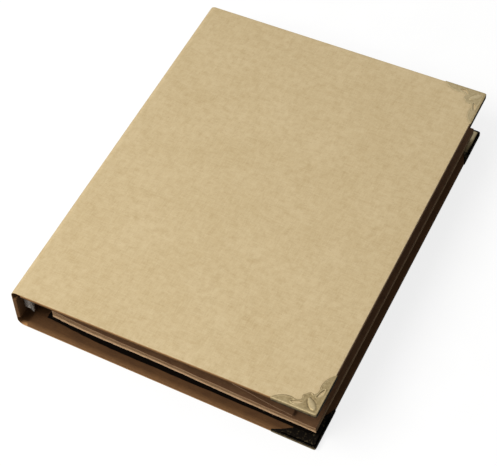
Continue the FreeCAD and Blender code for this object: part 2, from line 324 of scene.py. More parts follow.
def bend_share(x, z):
    start, end = bend_zone(True)
    d = end - start
    t = ((x - start.x) * d.x + (z - start.z) * d.z) / d.length_squared
    return float(smooth_step(t))


def wave(x, y, seed):
    return WAVE_HEIGHT * noise.noise(Vector((x / WAVE_LENGTH, y / WAVE_LENGTH, seed)))


def fade(y):
    """Waves die out towards the edges."""
    return float(smooth_step((HALF - abs(y)) / WAVE_FADE))


def rim_drop(distance):
    return RIM_DROP * (1.0 - float(smooth_step(distance / RIM_WIDTH)))


def kraft_sheet(name, rounding, front, seed):
    """Kraft paper on the outer face of one cover, its joint and half of the spine, cut flush all round."""
    spine_heights = [MIDDLE_Z, MIDDLE_Z - 4] + [SPINE_Z + rise for rise in (3, 1, 0, -0.6, -1.5)]
    stations = [(SPINE_X, z, 1.0, 0.0) for z in spine_heights]
    stations += joint_stations(rounding)
    stations += [(x, 0.0, 0.0, 1.0) for x in face_positions()]
    rows = []
    for x, z, nx, nz in stations:
        row = []
        for y in cross_positions(HALF, RIM_WIDTH):
            lift = -wave(x + z, y, seed) * fade(y) + corner_dent(FORE_X - x, HALF - abs(y))
            lift += rim_drop(min(HALF - abs(y), FORE_X - x))
            row.append((x + nx * lift, y, z + nz * lift))
        rows.append(row)
    place = in_front if front else tuple
    grid = np.array([[place(p) for p in row] for row in rows])
    builder = Builder()
    builder.add(*closed_sheet(grid, PAPER if front else -PAPER))
    return builder.make(name, PAPER_SMOOTH)


def edge_profile(height):
    """Papered edge of a board, from the kraft sheet to the inner face, as (inset, height) pairs."""
    r = min(EDGE_ROUNDING, (height - PAPER) / 2)
    profile = [(0.0, PAPER), (0.0, (PAPER + height - r) / 2)]
    for angle in (0, 30, 60, 90):
        a = math.radians(angle)
        profile.append((r - r * math.cos(a), height - r + r * math.sin(a)))
    return profile


def lining_stations(rounding):
    """Stations along the kraft face under the lining, each with the lining's height over it."""
    spine_heights = (MIDDLE_Z, MIDDLE_Z - 5, SPINE_Z + 2, SPINE_Z + 0.5)
    stations = [(SPINE_X, z, 1.0, 0.0, PANEL) for z in spine_heights]
    spine_fold = ((0.12, PANEL - FOLD_HIGH), (0.0, PANEL - FOLD_LOW), (-0.1, GROOVE_FOOT))
    stations += [(SPINE_X, SPINE_Z + rise, 1.0, 0.0, height) for rise, height in spine_fold]
    stations += [(*station, GROOVE_LINING) for station in joint_stations(rounding)]
    cover_fold = ((0.1, GROOVE_FOOT), (0.2, PANEL - FOLD_LOW), (0.32, PANEL - FOLD_HIGH))
    stations += [(JOINT_X + run, 0.0, 0.0, 1.0, height) for run, height in cover_fold]
    inner_face = spaced(JOINT_X + 0.7, FORE_X - EDGE_ROUNDING, LINING_STEP)
    return stations + [(x, 0.0, 0.0, 1.0, PANEL) for x in inner_face]


def lining_edge_light(grid):
    """Painted bounce light on the lining's points: paler at the tail and head edges, less so near the inner face.
    """
    at_edge = np.abs(grid[:, :, 1]) > HALF - EDGE_ROUNDING - 0.05
    painted_light = 1.0 - 0.86 * smooth_step((grid[:, :, 2] - PAPER) / (0.6 * PANEL))
    return np.where(at_edge, painted_light, 0.0).reshape(-1)


def lining_sheet(name, rounding, front, seed):
    """Lining inside one cover, its joint and half of the spine, folded down over the boards' edges."""
    place = in_front if front else tuple
    thickness = -LINING if front else LINING
    reach = HALF - EDGE_ROUNDING - 3.0
    across = spaced(-reach, reach, LINING_STEP)
    rows = []
    for x, z, nx, nz, height in lining_stations(rounding):
        edge = edge_profile(height)
        row = [(x + nx * h, -HALF + inset, z + nz * h) for inset, h in edge]
        for y in across:
            share = fade(y) * float(smooth_step((FORE_X - x) / WAVE_FADE))
            h = height + LINING_SLACK * wave(x + z, y, seed) * share
            row.append((x + nx * h, y, z + nz * h))
        row += [(x + nx * h, HALF - inset, z + nz * h) for inset, h in reversed(edge)]
        rows.append(row)
    builder = Builder()
    builder.add(*closed_sheet(np.array([[place(p) for p in row] for row in rows]), thickness))
    fore = []
    for inset, h in [(EDGE_ROUNDING + TURN_IN, PANEL + 0.02)] + edge_profile(PANEL)[::-1]:
        ends = HALF - SIDE_MARGIN
        fore.append([place((FORE_X - inset, y, h)) for y in [-ends] + across + [ends]])
    builder.add(*closed_sheet(np.array(fore), thickness))
    piece = builder.make(name, PAPER_SMOOTH)
    # painted bounce light on the lining's tail and head edges, kept as a point attribute
    painted_light = lining_edge_light(np.array(rows))
    values = np.zeros(len(builder.vertices), np.float32)
    values[:len(painted_light)] = painted_light
    wear_and_painted_light = piece.data.attributes.new("painted_light", "FLOAT", "POINT")
    wear_and_painted_light.data.foreach_set("value", values)
    return piece


# metal corners, drawn as (distance from the fore-edge, distance from the tail edge)

def arc_points(start, middle, end, count):
    """Points on the circle through three places, leaving out the last."""
    (ax, ay), (bx, by), (cx, cy) = start, middle, end
    d = 2 * (ax * (by - cy) + bx * (cy - ay) + cx * (ay - by))
    ux = ((ax**2 + ay**2) * (by - cy) + (bx**2 + by**2) * (cy - ay) + (cx**2 + cy**2) * (ay - by)) / d
    uy = ((ax**2 + ay**2) * (cx - bx) + (bx**2 + by**2) * (ax - cx) + (cx**2 + cy**2) * (bx - ax)) / d
    radius = math.hypot(ax - ux, ay - uy)
    angles = [math.atan2(y - uy, x - ux) for x, y in (start, middle, end)]
    turn = (angles[2] - angles[0]) % (2 * math.pi)
    through = (angles[1] - angles[0]) % (2 * math.pi)
    if through > turn:
        turn -= 2 * math.pi
    steps = [angles[0] + turn * k / count for k in range(count)]
    return [(ux + radius * math.cos(a), uy + radius * math.sin(a)) for a in steps]


def swapped(points):
    return [(v, u) for u, v in points]


def corner_contour():
    """The ornate edge from the tail-side tip to the fore-side tip."""
    wing = arc_points((CORNER_LEG, 0.0), (24.5, 4.5), (18.0, 5.6), 36)
    wing += arc_points((18.0, 5.6), (14.8, 5.3), (12.4, 7.0), 16)
    wing += arc_points((12.4, 7.0), (12.9, 9.6), (11.2, 11.2), 14)
    other = swapped(wing[1:])
    return wing + [(11.2, 11.2)] + other[::-1] + [(0.0, CORNER_LEG)]


def window_outline():
    points = arc_points((18.0, 2.6), (14.5, 4.2), (11.2, 5.0), 20)
    return points + arc_points((11.2, 5.0), (13.6, 2.2), (18.0, 2.6), 20)


CONTOUR = corner_contour()
WINDOWS = [window_outline(), swapped(window_outline())]
OUTLINE = [(0.0, 0.0)] + CONTOUR


def inside(points, polygon):
    """Which of the points lie in the polygon."""
    px, py = points[:, 0], points[:, 1]
    result = np.zeros(len(points), bool)
    for (x0, y0), (x1, y1) in zip(polygon, polygon[1:] + polygon[:1]):
        crosses = (y0 > py) != (y1 > py)
        at = x0 + (py - y0) * (x1 - x0) / (y1 - y0 if y1 != y0 else 1e-12)
        result ^= crosses & (px < at)
    return result


def distance_to(points, line):
    """Shortest distance from each point to a polyline."""
    best = np.full(len(points), 1e9)
    for a, b in zip(line, line[1:]):
        a, b = np.array(a), np.array(b)
        d = b - a
        t = np.clip(((points - a) @ d) / max(d @ d, 1e-12), 0, 1)
        best = np.minimum(best, np.linalg.norm(points - a - t[:, None] * d, axis=1))
    return best


def corner_dent(u, v):
    """How deep the cover is pressed in under a corner's plate."""
    if u > CORNER_LEG or v > CORNER_LEG or u + v > 1.5 * CORNER_LEG:
        return 0.0
    point = np.array([[max(u, 0.01), max(v, 0.01)]])
    if not inside(point, OUTLINE)[0]:
        return 0.0
    return METAL * float(smooth_step(distance_to(point, CONTOUR)[0]))


def ridge(distance, place):
    """Height of a rounded ridge that runs at this place."""
    return np.exp(-(((distance - place) / RIDGE_WIDTH) ** 2))


def petal(u, v):
    """Dome of the petal on the diagonal, and the groove along its sides."""
    along = (u + v) / math.sqrt(2)
    across = (v - u) / math.sqrt(2)
    t = np.clip((along - PETAL_START) / (PETAL_END - PETAL_START), 0, 1)
    width = PETAL_WIDTH * np.sqrt(np.sin(math.pi * t ** 0.8)) + 1e-6
    dome = np.sqrt(np.clip(1 - (across / width) ** 2, 0, 1)) * (t > 0) * (t < 1)
    groove = ridge(np.abs(across) - width, 0.35) * (t > 0.02) * (t < 0.98)
    return dome, groove


def relief(points):
    """Height of the stamped pattern over the plate, from 0 to 1."""
    u, v = points[:, 0], points[:, 1]
    rim = distance_to(points, CONTOUR)
    height = np.maximum(PLATE_LEVEL * smooth_step(rim / 0.5), RIM_RIDGE * ridge(rim, RIM_RIDGE_PLACE))
    for hole in WINDOWS:
        edge = distance_to(points, hole + hole[:1])
        height = np.maximum(height, WINDOW_RIDGE * ridge(edge, WINDOW_RIDGE_PLACE))
    dome, groove = petal(u, v)
    height = np.maximum(height, PETAL_HEIGHT * dome) - GROOVE_DEPTH * groove
    wing = np.maximum(u, v)
    low = np.minimum(u, v)
    hatch = 0.5 + 0.5 * np.sin(2 * math.pi * (wing + 0.9 * low) / HATCH_PITCH)
    hatched = smooth_step(wing - WING_START) * smooth_step((rim - 0.55) / 0.4)
    height = np.maximum(height, HATCH_HEIGHT * hatch * hatched)
    scroll = 0.5 + 0.5 * np.cos(2 * math.pi * (low - 0.12 * wing) / SCROLL_PITCH)
    scrolled = smooth_step(WING_START - wing) * smooth_step((wing - 5.0) / 1.5) * (low < 2.2)
    height = np.maximum(height, SCROLL_HEIGHT * scroll * scrolled)
    return np.clip(height, 0.0, 1.0)


def stamped_plate(outline, holes, step, height_at):
    """Closed plate over an outline, with heights (front, back) at each point."""
    span = np.arange(-0.5 + step / 2, CORNER_LEG + step, step)
    lattice = np.array([(u + (step / 2 if k % 2 else 0), v) for k, v in enumerate(span) for u in span])
    keep = inside(lattice, outline) & (distance_to(lattice, outline + outline[:1]) > step * 0.5)
    for hole in holes:
        keep &= ~inside(lattice, hole) & (distance_to(lattice, hole + hole[:1]) > step * 0.5)
    loops = [outline] + holes
    points, edges = [], []
    for loop in loops:
        base = len(points)
        points += loop
        edges += [(base + i, base + (i + 1) % len(loop)) for i in range(len(loop))]
    points += [tuple(p) for p in lattice[keep]]
    flat, _, triangles, _, _, _ = geometry.delaunay_2d_cdt([Vector(p) for p in points], edges, [], 0, 1e-5)
    flat = np.array([tuple(p) for p in flat])
    triangles = np.array([t for t in triangles if len(t) == 3])
    middle = flat[triangles].mean(axis=1)
    good = inside(middle, outline)
    for hole in holes:
        good &= ~inside(middle, hole)
    triangles = triangles[good]
    front, back = height_at(flat)
    count = len(flat)
    vertices = np.concatenate([np.column_stack([flat, front]), np.column_stack([flat, back])])
    faces = [list(t) for t in triangles] + [[count + i for i in reversed(t)] for t in triangles]
    faces += [[b, a, count + a, count + b] for a, b in open_edges(triangles)]
    return vertices, faces


def dense_line(start, end, step):
    """Points from start to end, leaving out the last."""
    run, rise = end[0] - start[0], end[1] - start[1]
    count = int(math.hypot(run, rise) / step)
    return [(start[0] + run * k / count, start[1] + rise * k / count) for k in range(count)]


@functools.cache
def outer_plate(lift):
    """Stamped plate on the cover's outer face."""
    over = -0.1                # just past the cover's edges, into the folded wall
    outline = dense_line((over, over), (CORNER_LEG, over), PLATE_EDGE_STEP) + CONTOUR
    outline += dense_line((over, CORNER_LEG), (over, over), PLATE_EDGE_STEP)

    def height_at(points):
        pattern = relief(points)
        front = lift - RELIEF + RELIEF * pattern
        back = np.full(len(points), -METAL)
        return np.maximum(front, back + 0.05), back

    return stamped_plate(outline, WINDOWS, PLATE_STEP, height_at)


@functools.cache
def inner_plate():
    """Plain plate on the lining, with a rolled edge."""
    curve = arc_points((CORNER_LEG, 0.0), (12.0, 12.0), (0.0, CORNER_LEG), 40)
    outline = dense_line((0.0, 0.0), (CORNER_LEG, 0.0), INNER_STEP) + curve
    outline += dense_line((0.0, CORNER_LEG), (0.0, 0.0), INNER_STEP)

    def height_at(points):
        roll = 0.18 * np.exp(-(((distance_to(points, curve) - 0.5) / 0.4) ** 2))
        face = np.full(len(points), -PANEL)
        return face, face - INNER_METAL - roll

    return stamped_plate(outline, [], INNER_STEP, height_at)


def corner_wall(lift):
    """Metal folded over both edges: a C section swept round the corner, as (inward, depth) loops."""
    top = lift - 0.15 * RELIEF
    low = -PANEL - INNER_METAL
    out = -METAL
    lap = 1.0                  # the wall's lips reach this far over and under the cover
    section = [(lap, top - 0.12), (0.4, top), (0.0, top), (out * 0.7, top - 0.15), (out, top - 0.45)]
    section += [(out, low + 0.4), (out * 0.7, low + 0.1), (0.0, low), (lap, low), (lap, low + 0.42)]
    section += [(-0.02, low + 0.42), (-0.02, -METAL), (lap, -METAL)]
    bend = 1.2                 # radius of the path round the corner
    path = [((u, 0.0), (0.0, 1.0)) for u in spaced(CORNER_LEG, bend + 0.2, WALL_STEP)]
    for k in range(WALL_TURNS + 1):
        a = math.radians(90 * k / WALL_TURNS)
        path.append(((bend - bend * math.sin(a), bend - bend * math.cos(a)), (math.sin(a), math.cos(a))))
    path += [((0.0, v), (1.0, 0.0)) for v in spaced(bend + 0.2, CORNER_LEG, WALL_STEP)]
    count = len(section)
    vertices, faces = [], []
    for (u, v), (iu, iv) in path:
        reach = max(u, v)
        taper = 1.0 - 0.75 * float(smooth_step((reach - CORNER_LEG + 4.0) / 4.0))
        for inward, h in section:
            shift = inward if inward < 0 else inward * taper
            vertices.append((u + iu * shift, v + iv * shift, h))
    for i in range(len(path) - 1):
        for k in range(count):
            a, b = i * count + k, i * count + (k + 1) % count
            faces.append([a, b, b + count, a + count])
    faces.append(list(range(count)))
    faces.append([(len(path) - 1) * count + k for k in reversed(range(count))])
    return vertices, faces


def corner_tone(points, lift, shell, head):
    """Tone of each point: patina rubbed bright on the stamped relief and painted lighter at the head; painted
    shade on the inner plates, with a painted highlight on the head's; painted shade on the walls under a painted
    rim highlight.
    """
    u, v, heights = points.T
    if shell == "outer":
        pattern = np.clip((heights - (lift - RELIEF)) / RELIEF, 0, 1)
        base = DULL + HEAD_HIGHLIGHT * head
        return np.where(heights > -METAL + 0.01, base + (RUBBED_AND_HIGHLIGHT - base) * (pattern - 0.4), DULL)
    if shell == "inner":
        # the painted highlight reaches further from the head edge beside the fore-edge
        reach = 6.0 + 17.0 * (1.0 - smooth_step((u - 3.5) / 3.0))
        painted_light = (1.0 - smooth_step((v - 4.5) / reach)) * smooth_step((u - 0.8) / 1.6)
        return PAINTED_SHADE + (RUBBED_AND_HIGHLIGHT - PAINTED_SHADE) * painted_light * head
    # the wall's painted rim highlight reaches further down on the tail and head edges than on the fore-edge
    depth = np.where(v < u, 1.1, 0.3)
    return PAINTED_SHADE + (RIM_HIGHLIGHT - PAINTED_SHADE) * smooth_step((heights - lift + depth + 0.1) / 0.4)


def metal_corner(name, front, head):
    lift = FRONT_PROUD if front else 0.0
    builder = Builder()
    tones = []
    shells = {"outer": outer_plate(lift), "inner": inner_plate(), "wall": corner_wall(lift)}
    for kind, (vertices, faces) in shells.items():
        builder.add(vertices, faces)
        tones.append(corner_tone(np.array([tuple(v) for v in vertices]), lift, kind, head))
    placed = []
    for u, v, h in builder.vertices:
        y = HALF - v if head else -HALF + v
        point = (FORE_X - u, y, -h)
        placed.append(in_front(point) if front else point)
    piece = make_object(name, placed, builder.faces, METAL_SMOOTH)
    tone = piece.data.attributes.new("patina_and_painted_light", "FLOAT", "POINT")
    tone.data.foreach_set("value", np.concatenate(tones).astype(np.float32))
    return piece


# leaves

def leaf_hole():
    """Hole's centre from a leaf's binding edge and its radius, both from the arched leaf."""
    start = mm_box("upper_leaf")[0].x
    corners = np.array([v.co for v in frame["nodes"]["upper_leaf"].data.vertices]) / MM
    x, y = corners[:, 0], corners[:, 1]
    # the corners of the middle hole, past the binding edge
    edge = x[(np.abs(y) < 10.0) & (x > start + 0.5) & (x < start + 20.0)]
    near, far = edge.min(), edge.max()
    return (near + far) / 2 - start, (far - near) / 2


def leaf_columns(start, end, hole_x):
    near = spaced(hole_x - HOLE_ZONE, hole_x + HOLE_ZONE, HOLE_STEP)
    return [start] + near + spaced(hole_x + HOLE_ZONE + 3.0, end, 4.0)


def leaf_rows(half):
    """Distances along y of a leaf's points, and of the three rings."""
    low, high = mm_box("upper_ring_halves")
    middle = (high.y + low.y) / 2
    reach = high.y - WIRE_RADIUS
    rings = [middle - reach, middle, middle + reach]
    rows = []
    for ring in rings:
        rows += spaced(ring - HOLE_ZONE, ring + HOLE_ZONE, HOLE_STEP)
    end, gap = HOLE_ZONE + 3.0, HOLE_ZONE + 4.0
    rows += spaced(-half, rings[0] - end, 6.0) + spaced(rings[2] + end, half, 6.0)
    for first, second in zip(rings, rings[1:]):
        rows += spaced(first + gap, second - gap, COARSE_STEP)
    return sorted(rows), rings


def hole_loops(radius):
    """Loops from the finer square round a hole to the hole's edge, about its centre."""
    side = [-HOLE_ZONE + HOLE_STEP * k for k in range(int(2 * HOLE_ZONE / HOLE_STEP))]
    square = [(s, -HOLE_ZONE) for s in side] + [(HOLE_ZONE, s) for s in side]
    square += [(-s, HOLE_ZONE) for s in side] + [(-HOLE_ZONE, -s) for s in side]
    loops = [square]
    for share in (0.5, 1.0):
        loop = []
        for x, y in square:
            length = math.hypot(x, y)
            round_x, round_y = x / length * radius, y / length * radius
            loop.append((x + (round_x - x) * share, y + (round_y - y) * share))
        loops.append(loop)
    return loops


def punched_sheet(columns, rows, rings, hole, face_height, shift):
    """Closed card with ring holes, at the height that face_height gives."""
    index = {}
    flat = []

    def vertex(x, y):
        key = (round(x, 4), round(y, 4))
        if key not in index:
            index[key] = len(flat)
            flat.append((x, y))
        return index[key]

    quads = []
    hole_x, radius = hole
    for i in range(len(columns) - 1):
        for j in range(len(rows) - 1):
            x0, x1, y0, y1 = columns[i], columns[i + 1], rows[j], rows[j + 1]
            cx, cy = (x0 + x1) / 2, (y0 + y1) / 2
            if abs(cx - hole_x) < HOLE_ZONE and any(abs(cy - ring) < HOLE_ZONE for ring in rings):
                continue
            quads.append([vertex(x0, y0), vertex(x1, y0), vertex(x1, y1), vertex(x0, y1)])
    loops = hole_loops(radius)
    for ring in rings:
        for outer, inner in zip(loops, loops[1:]):
            for k in range(len(outer)):
                n = (k + 1) % len(outer)
                corners = [outer[k], outer[n], inner[n], inner[k]]
                quads.append([vertex(hole_x + p[0], ring + p[1]) for p in corners])
    flat = np.array(flat)
    heights = face_height(flat[:, 0], flat[:, 1])
    low = np.column_stack([flat[:, 0] + shift[0], flat[:, 1] + shift[1], heights])
    high = low + np.array([0, 0, LEAF_CARD])
    count = len(flat)
    faces = [list(reversed(q)) for q in quads] + [[count + i for i in q] for q in quads]
    faces += [[a, b, count + b, count + a] for a, b in open_edges(quads)]
    return np.concatenate([low, high]), faces


def leaf_curves(node):
    """Lower face of each leaf of a CAD node as arrays of x and z, lowest leaf first."""
    mesh = frame["nodes"][node].data
    edit = bmesh.new()
    edit.from_mesh(mesh)
    bmesh.ops.remove_doubles(edit, verts=edit.verts, dist=0.001 * MM)
    curves, seen = [], set()
    for first in edit.verts:
        if first in seen:
            continue
        part, queue = [], [first]
        seen.add(first)
        while queue:
            vertex = queue.pop()
            part.append(tuple(vertex.co))
            for edge in vertex.link_edges:
                other = edge.other_vert(vertex)
                if other not in seen:
                    seen.add(other)
                    queue.append(other)
        corners = np.array(part) / MM
        tail = corners[corners[:, 1] < corners[:, 1].min() + 0.01]
        xs = np.unique(np.round(tail[:, 0], 2))
        zs = np.array([tail[np.abs(tail[:, 0] - x) < 0.012][:, 2].min() for x in xs])
        curves.append((xs, zs))
    edit.free()
    return sorted(curves, key=lambda curve: curve[1].mean())


def upright(vertices, face):
    """Whether a face joins a sheet's lower and upper sides, which follow each other in the vertices."""
    half = len(vertices) // 2
    return min(face) < half <= max(face)


def leaf_sheets(name, node, seed, loose):
    """One punched sheet for each leaf of a CAD node, not quite squared up."""
    rows, rings = leaf_rows(mm_box(node)[1].y - loose)
    inset, radius = leaf_hole()
    rng = np.random.default_rng(seed)
    builder = Builder()
    for number, (xs, zs) in enumerate(leaf_curves(node)):
        phase = rng.uniform(0, 100)
        shift = (-rng.uniform(0.0, loose), rng.uniform(-loose, loose))

        def height(x, y, xs=xs, zs=zs, phase=phase):
            places = [Vector((a / RIPPLE_LENGTH, b / RIPPLE_LENGTH, phase)) for a, b in zip(x, y)]
            return np.interp(x, xs, zs) + RIPPLE * np.array([noise.noise(place) for place in places])

        hole_x = xs[0] + inset
        columns = leaf_columns(xs[0], xs[-1], hole_x)
        vertices, faces = punched_sheet(columns, rows, rings, (hole_x, radius), height, shift)
        fore = xs[-1] + shift[0] - 0.01
        edges = [face for face in faces if upright(vertices, face)]
        # upper leaves' tail and head edges get painted shade from the front cover above; fore-edge cuts get deeper
        # painted shade
        edge_light = LIT_CUT if number < LIT_LEAVES else SHADED_CUT
        tones = [FORE_CUT if all(vertices[i][0] > fore for i in face) else edge_light for face in edges]
        builder.add(vertices, faces, tones)
    return builder.make(name, LEAF_SMOOTH)


# materials

ALBEDO = 0.69              # a face's colour, as a share of how bright it looks in the studio light
MIX_COLOUR_INPUTS = (0, 6, 7)
MIX_COLOUR_OUTPUT = 2


class Nodes:
    """Short calls for a material's node tree."""

    def __init__(self, name):
        self.material = bpy.data.materials.new(name)
        self.material.use_nodes = True
        self.tree = self.material.node_tree
        self.shader = self.tree.nodes["Principled BSDF"]
        self.place = self.add("ShaderNodeTexCoord").outputs["Object"]

    def add(self, kind):
        return self.tree.nodes.new(kind)

    def set(self, node, key, value):
        """Links another node's output to an input, or sets the input to a number or a colour."""
        socket = node.inputs[key]
        if isinstance(value, bpy.types.NodeSocket):
            self.tree.links.new(value, socket)
        else:
            socket.default_value = value

    def attribute(self, name):
        node = self.add("ShaderNodeAttribute")
        node.attribute_name = name
        return node.outputs["Fac"]

    def noise(self, scale_mm, detail, roughness, stretch=(1, 1, 1), turn=0.0, distortion=0.0):
        """Noise with features about scale_mm across, stretched along axes and turned about z."""
        mapping = self.add("ShaderNodeMapping")
        self.set(mapping, "Vector", self.place)
        mapping.inputs["Rotation"].default_value = (0, 0, math.radians(turn))
        mapping.inputs["Scale"].default_value = tuple(1.0 / s for s in stretch)
        texture = self.add("ShaderNodeTexNoise")
        self.set(texture, "Vector", mapping.outputs[0])
        texture.inputs["Scale"].default_value = 1.0 / (scale_mm * MM)
        texture.inputs["Detail"].default_value = detail
        texture.inputs["Roughness"].default_value = roughness
        texture.inputs["Distortion"].default_value = distortion
        return texture.outputs["Fac"]

    def remap(self, value, low, high, out_low=0.0, out_high=1.0):
        """The value, taken from one range to another and held within it."""
        node = self.add("ShaderNodeMapRange")
        self.set(node, "Value", value)
        ends = (("From Min", low), ("From Max", high), ("To Min", out_low), ("To Max", out_high))
        for key, number in ends:
            node.inputs[key].default_value = number
        return node.outputs[0]

    def math(self, operation, a, b):
        node = self.add("ShaderNodeMath")
        node.operation = operation
        self.set(node, 0, a)
        self.set(node, 1, b)
        return node.outputs[0]

    def mix(self, share, a, b):
        """Colour a with a share of colour b."""
        node = self.add("ShaderNodeMix")
        node.data_type = "RGBA"
        for index, value in zip(MIX_COLOUR_INPUTS, (share, a, b)):
            self.set(node, index, value)
        return node.outputs[MIX_COLOUR_OUTPUT]

    def bump(self, height, distance_mm, strength):
        node = self.add("ShaderNodeBump")
        node.inputs["Distance"].default_value = distance_mm * MM
        node.inputs["Strength"].default_value = strength
        self.set(node, "Height", height)
        return node.outputs[0]

    def finish(self, colour, roughness, normal=None, metallic=0.0, specular=0.0):
        self.set(self.shader, "Base Color", colour)
        self.set(self.shader, "Roughness", roughness)
        self.shader.inputs["Metallic"].default_value = metallic
        self.shader.inputs["Specular IOR Level"].default_value = specular
        if normal is not None:
            self.set(self.shader, "Normal", normal)
        return self.material


def srgb(r, g, b):
    """Linear colour of a surface that looks like these 0 to 255 values under the studio light."""
    def linear(c):
        c = c / 255.0
        return c / 12.92 if c <= 0.04045 else ((c + 0.055) / 1.055) ** 2.4

    return (linear(r) * ALBEDO, linear(g) * ALBEDO, linear(b) * ALBEDO, 1.0)


def kraft_paper():
    n = Nodes("kraft_paper")
    cloud = n.noise(38.0, 2.0, 0.5)
    blotch = n.noise(5.0, 4.0, 0.6)
    fibre_a = n.noise(1.1, 3.0, 0.6, stretch=(5.0, 0.9, 1), turn=20, distortion=0.6)
    fibre_b = n.noise(1.0, 3.0, 0.6, stretch=(0.9, 5.0, 1), turn=-15, distortion=0.6)
    speck = n.noise(0.35, 2.0, 0.6)
    fibres = n.math("MULTIPLY", n.math("ADD", fibre_a, fibre_b), 0.5)
    base = n.mix(n.remap(cloud, 0.3, 0.7), srgb(201, 178, 134), srgb(210, 188, 146))
    base = n.mix(n.remap(blotch, 0.38, 0.66, 0.0, 0.7), base, srgb(190, 166, 121))
    base = n.mix(n.remap(fibres, 0.35, 0.65, 0.0, 0.55), base, srgb(222, 203, 164))
    base = n.mix(n.remap(speck, 0.60, 0.74, 0.0, 0.35), base, srgb(176, 150, 110))
    dark = n.noise(0.8, 2.0, 0.5, stretch=(2.5, 0.6, 1), turn=60)
    base = n.mix(n.remap(dark, 0.66, 0.76, 0.0, 0.45), base, srgb(160, 132, 92))
    height = n.math("ADD", fibres, n.math("MULTIPLY", speck, 0.5))
    return n.finish(base, n.remap(speck, 0.3, 0.7, 0.78, 0.92), n.bump(height, 0.05, 0.5), specular=0.2)


def lining_paper():
    n = Nodes("lining_paper")
    blotch = n.noise(12.0, 3.0, 0.5)
    fibre = n.noise(0.9, 3.0, 0.6, stretch=(4.0, 0.8, 1), turn=35, distortion=0.5)
    speck = n.noise(0.3, 2.0, 0.6)
    base = n.mix(n.remap(blotch, 0.3, 0.7), srgb(82, 53, 27), srgb(95, 63, 33))
    base = n.mix(n.remap(fibre, 0.4, 0.7, 0.0, 0.4), base, srgb(112, 77, 42))
    base = n.mix(n.remap(speck, 0.58, 0.72, 0.0, 0.4), base, srgb(58, 36, 19))
    # painted bounce light: the tail and head edges turn paler towards the kraft face
    lit_rim_share = n.math("MULTIPLY", n.attribute("painted_light"), n.remap(fibre, 0.3, 0.7, 0.7, 1.0))
    base = n.mix(lit_rim_share, base, srgb(222, 166, 106))
    height = n.math("ADD", fibre, n.math("MULTIPLY", speck, 0.6))
    return n.finish(base, n.remap(speck, 0.3, 0.7, 0.7, 0.9), n.bump(height, 0.05, 0.5), specular=0.2)


def card(name, light, dark, fleck, edge_light, shaded_edge, fore, sheen=0.2):
    """Leaf card, with other colours on its cut edges: lit, in painted shade, and in painted shade at the
    fore-edge.
    """
    n = Nodes(name)
    blotch = n.noise(9.0, 3.0, 0.5)
    fibre = n.noise(0.8, 3.0, 0.6, stretch=(3.5, 0.8, 1), turn=-25, distortion=0.5)
    speck = n.noise(0.28, 2.0, 0.6)
    base = n.mix(n.remap(blotch, 0.3, 0.7), light, dark)
    base = n.mix(n.remap(fibre, 0.45, 0.7, 0.0, 0.4), base, fleck)
    cut = n.attribute("cut")
    edge = n.mix(n.remap(cut, SHADED_CUT, LIT_CUT), shaded_edge, edge_light)
    edge = n.mix(n.remap(cut, FORE_CUT, SHADED_CUT), fore, edge)
    base = n.mix(n.remap(cut, 0.0, FORE_CUT), base, edge)
    height = n.math("ADD", fibre, speck)
    return n.finish(base, n.remap(speck, 0.3, 0.7, 0.75, 0.92), n.bump(height, 0.04, 0.5), specular=sheen)


def grey_board():
    n = Nodes("grey_board")
    blotch = n.noise(2.0, 4.0, 0.6)
    speck = n.noise(0.3, 2.0, 0.6)
    base = n.mix(n.remap(blotch, 0.3, 0.7), srgb(150, 136, 116), srgb(168, 154, 132))
    base = n.mix(n.remap(speck, 0.6, 0.72, 0.0, 0.6), base, srgb(104, 92, 76))
    return n.finish(base, 0.92, n.bump(blotch, 0.08, 0.6), specular=0.15)


def antique_metal():
    n = Nodes("antique_metal")
    # random wear mottle, which also paints brown glints on the dark inner plates
    wear_and_painted_light = n.noise(1.6, 4.0, 0.6)
    fine = n.noise(0.25, 3.0, 0.6)
    share = n.math("ADD", n.attribute("patina_and_painted_light"), n.remap(wear_and_painted_light, 0.3, 0.7, -0.1, 0.13))
    # dark end: painted shade; bright end: rubbed patina and painted highlights
    colour = n.mix(n.remap(share, 0.04, 0.42), srgb(14, 9, 5), srgb(174, 154, 112))
    colour = n.mix(n.remap(share, 0.42, 1.0), colour, srgb(232, 214, 172))
    colour = n.mix(n.remap(fine, 0.55, 0.75, 0.0, 0.25), colour, srgb(112, 92, 58))
    rough = n.remap(share, 0.1, 0.9, 0.6, 0.38)
    return n.finish(colour, rough, n.bump(fine, 0.03, 0.5), metallic=0.5, specular=0.14)


def nickel():
    n = Nodes("nickel")
    brushed = n.noise(0.5, 3.0, 0.6, stretch=(1, 14.0, 1))
    smudge = n.noise(7.0, 3.0, 0.5)
    colour = n.mix(n.remap(smudge, 0.3, 0.7), srgb(232, 226, 216), srgb(252, 248, 240))
    rough = n.remap(brushed, 0.3, 0.7, 0.2, 0.34)
    return n.finish(colour, rough, n.bump(brushed, 0.01, 0.4), metallic=0.75, specular=0.5)


def paint(piece, material):
    piece.data.materials.clear()
    piece.data.materials.append(material)


# scene

FLOOR_SIZE = 12.0          # metres
FLOOR_GLOW = 0.79
WORLD_BRIGHT = 1.05        # light from the spine side
WORLD_DIM = 0.2            # light from the fore-edge side

# key light and camera: angles in degrees, azimuth from the tail side round to the fore-edge, metres
KEY_AZIMUTH = -42.0
KEY_ELEVATION = 52.0
KEY_DISTANCE = 1.3
KEY_SIZE = 0.9
KEY_POWER = 17.0
KEY_COLOUR = (1.0, 0.985, 0.96)
CAMERA_AZIMUTH = 27.76
CAMERA_ELEVATION = 54.05
CAMERA_ROLL = -1.72
CAMERA_DISTANCE = 0.9976
CAMERA_AIM = (0.0029, -0.0213, 0.0190)
CAMERA_LENS = 108.0
CAMERA_SENSOR = 36.0


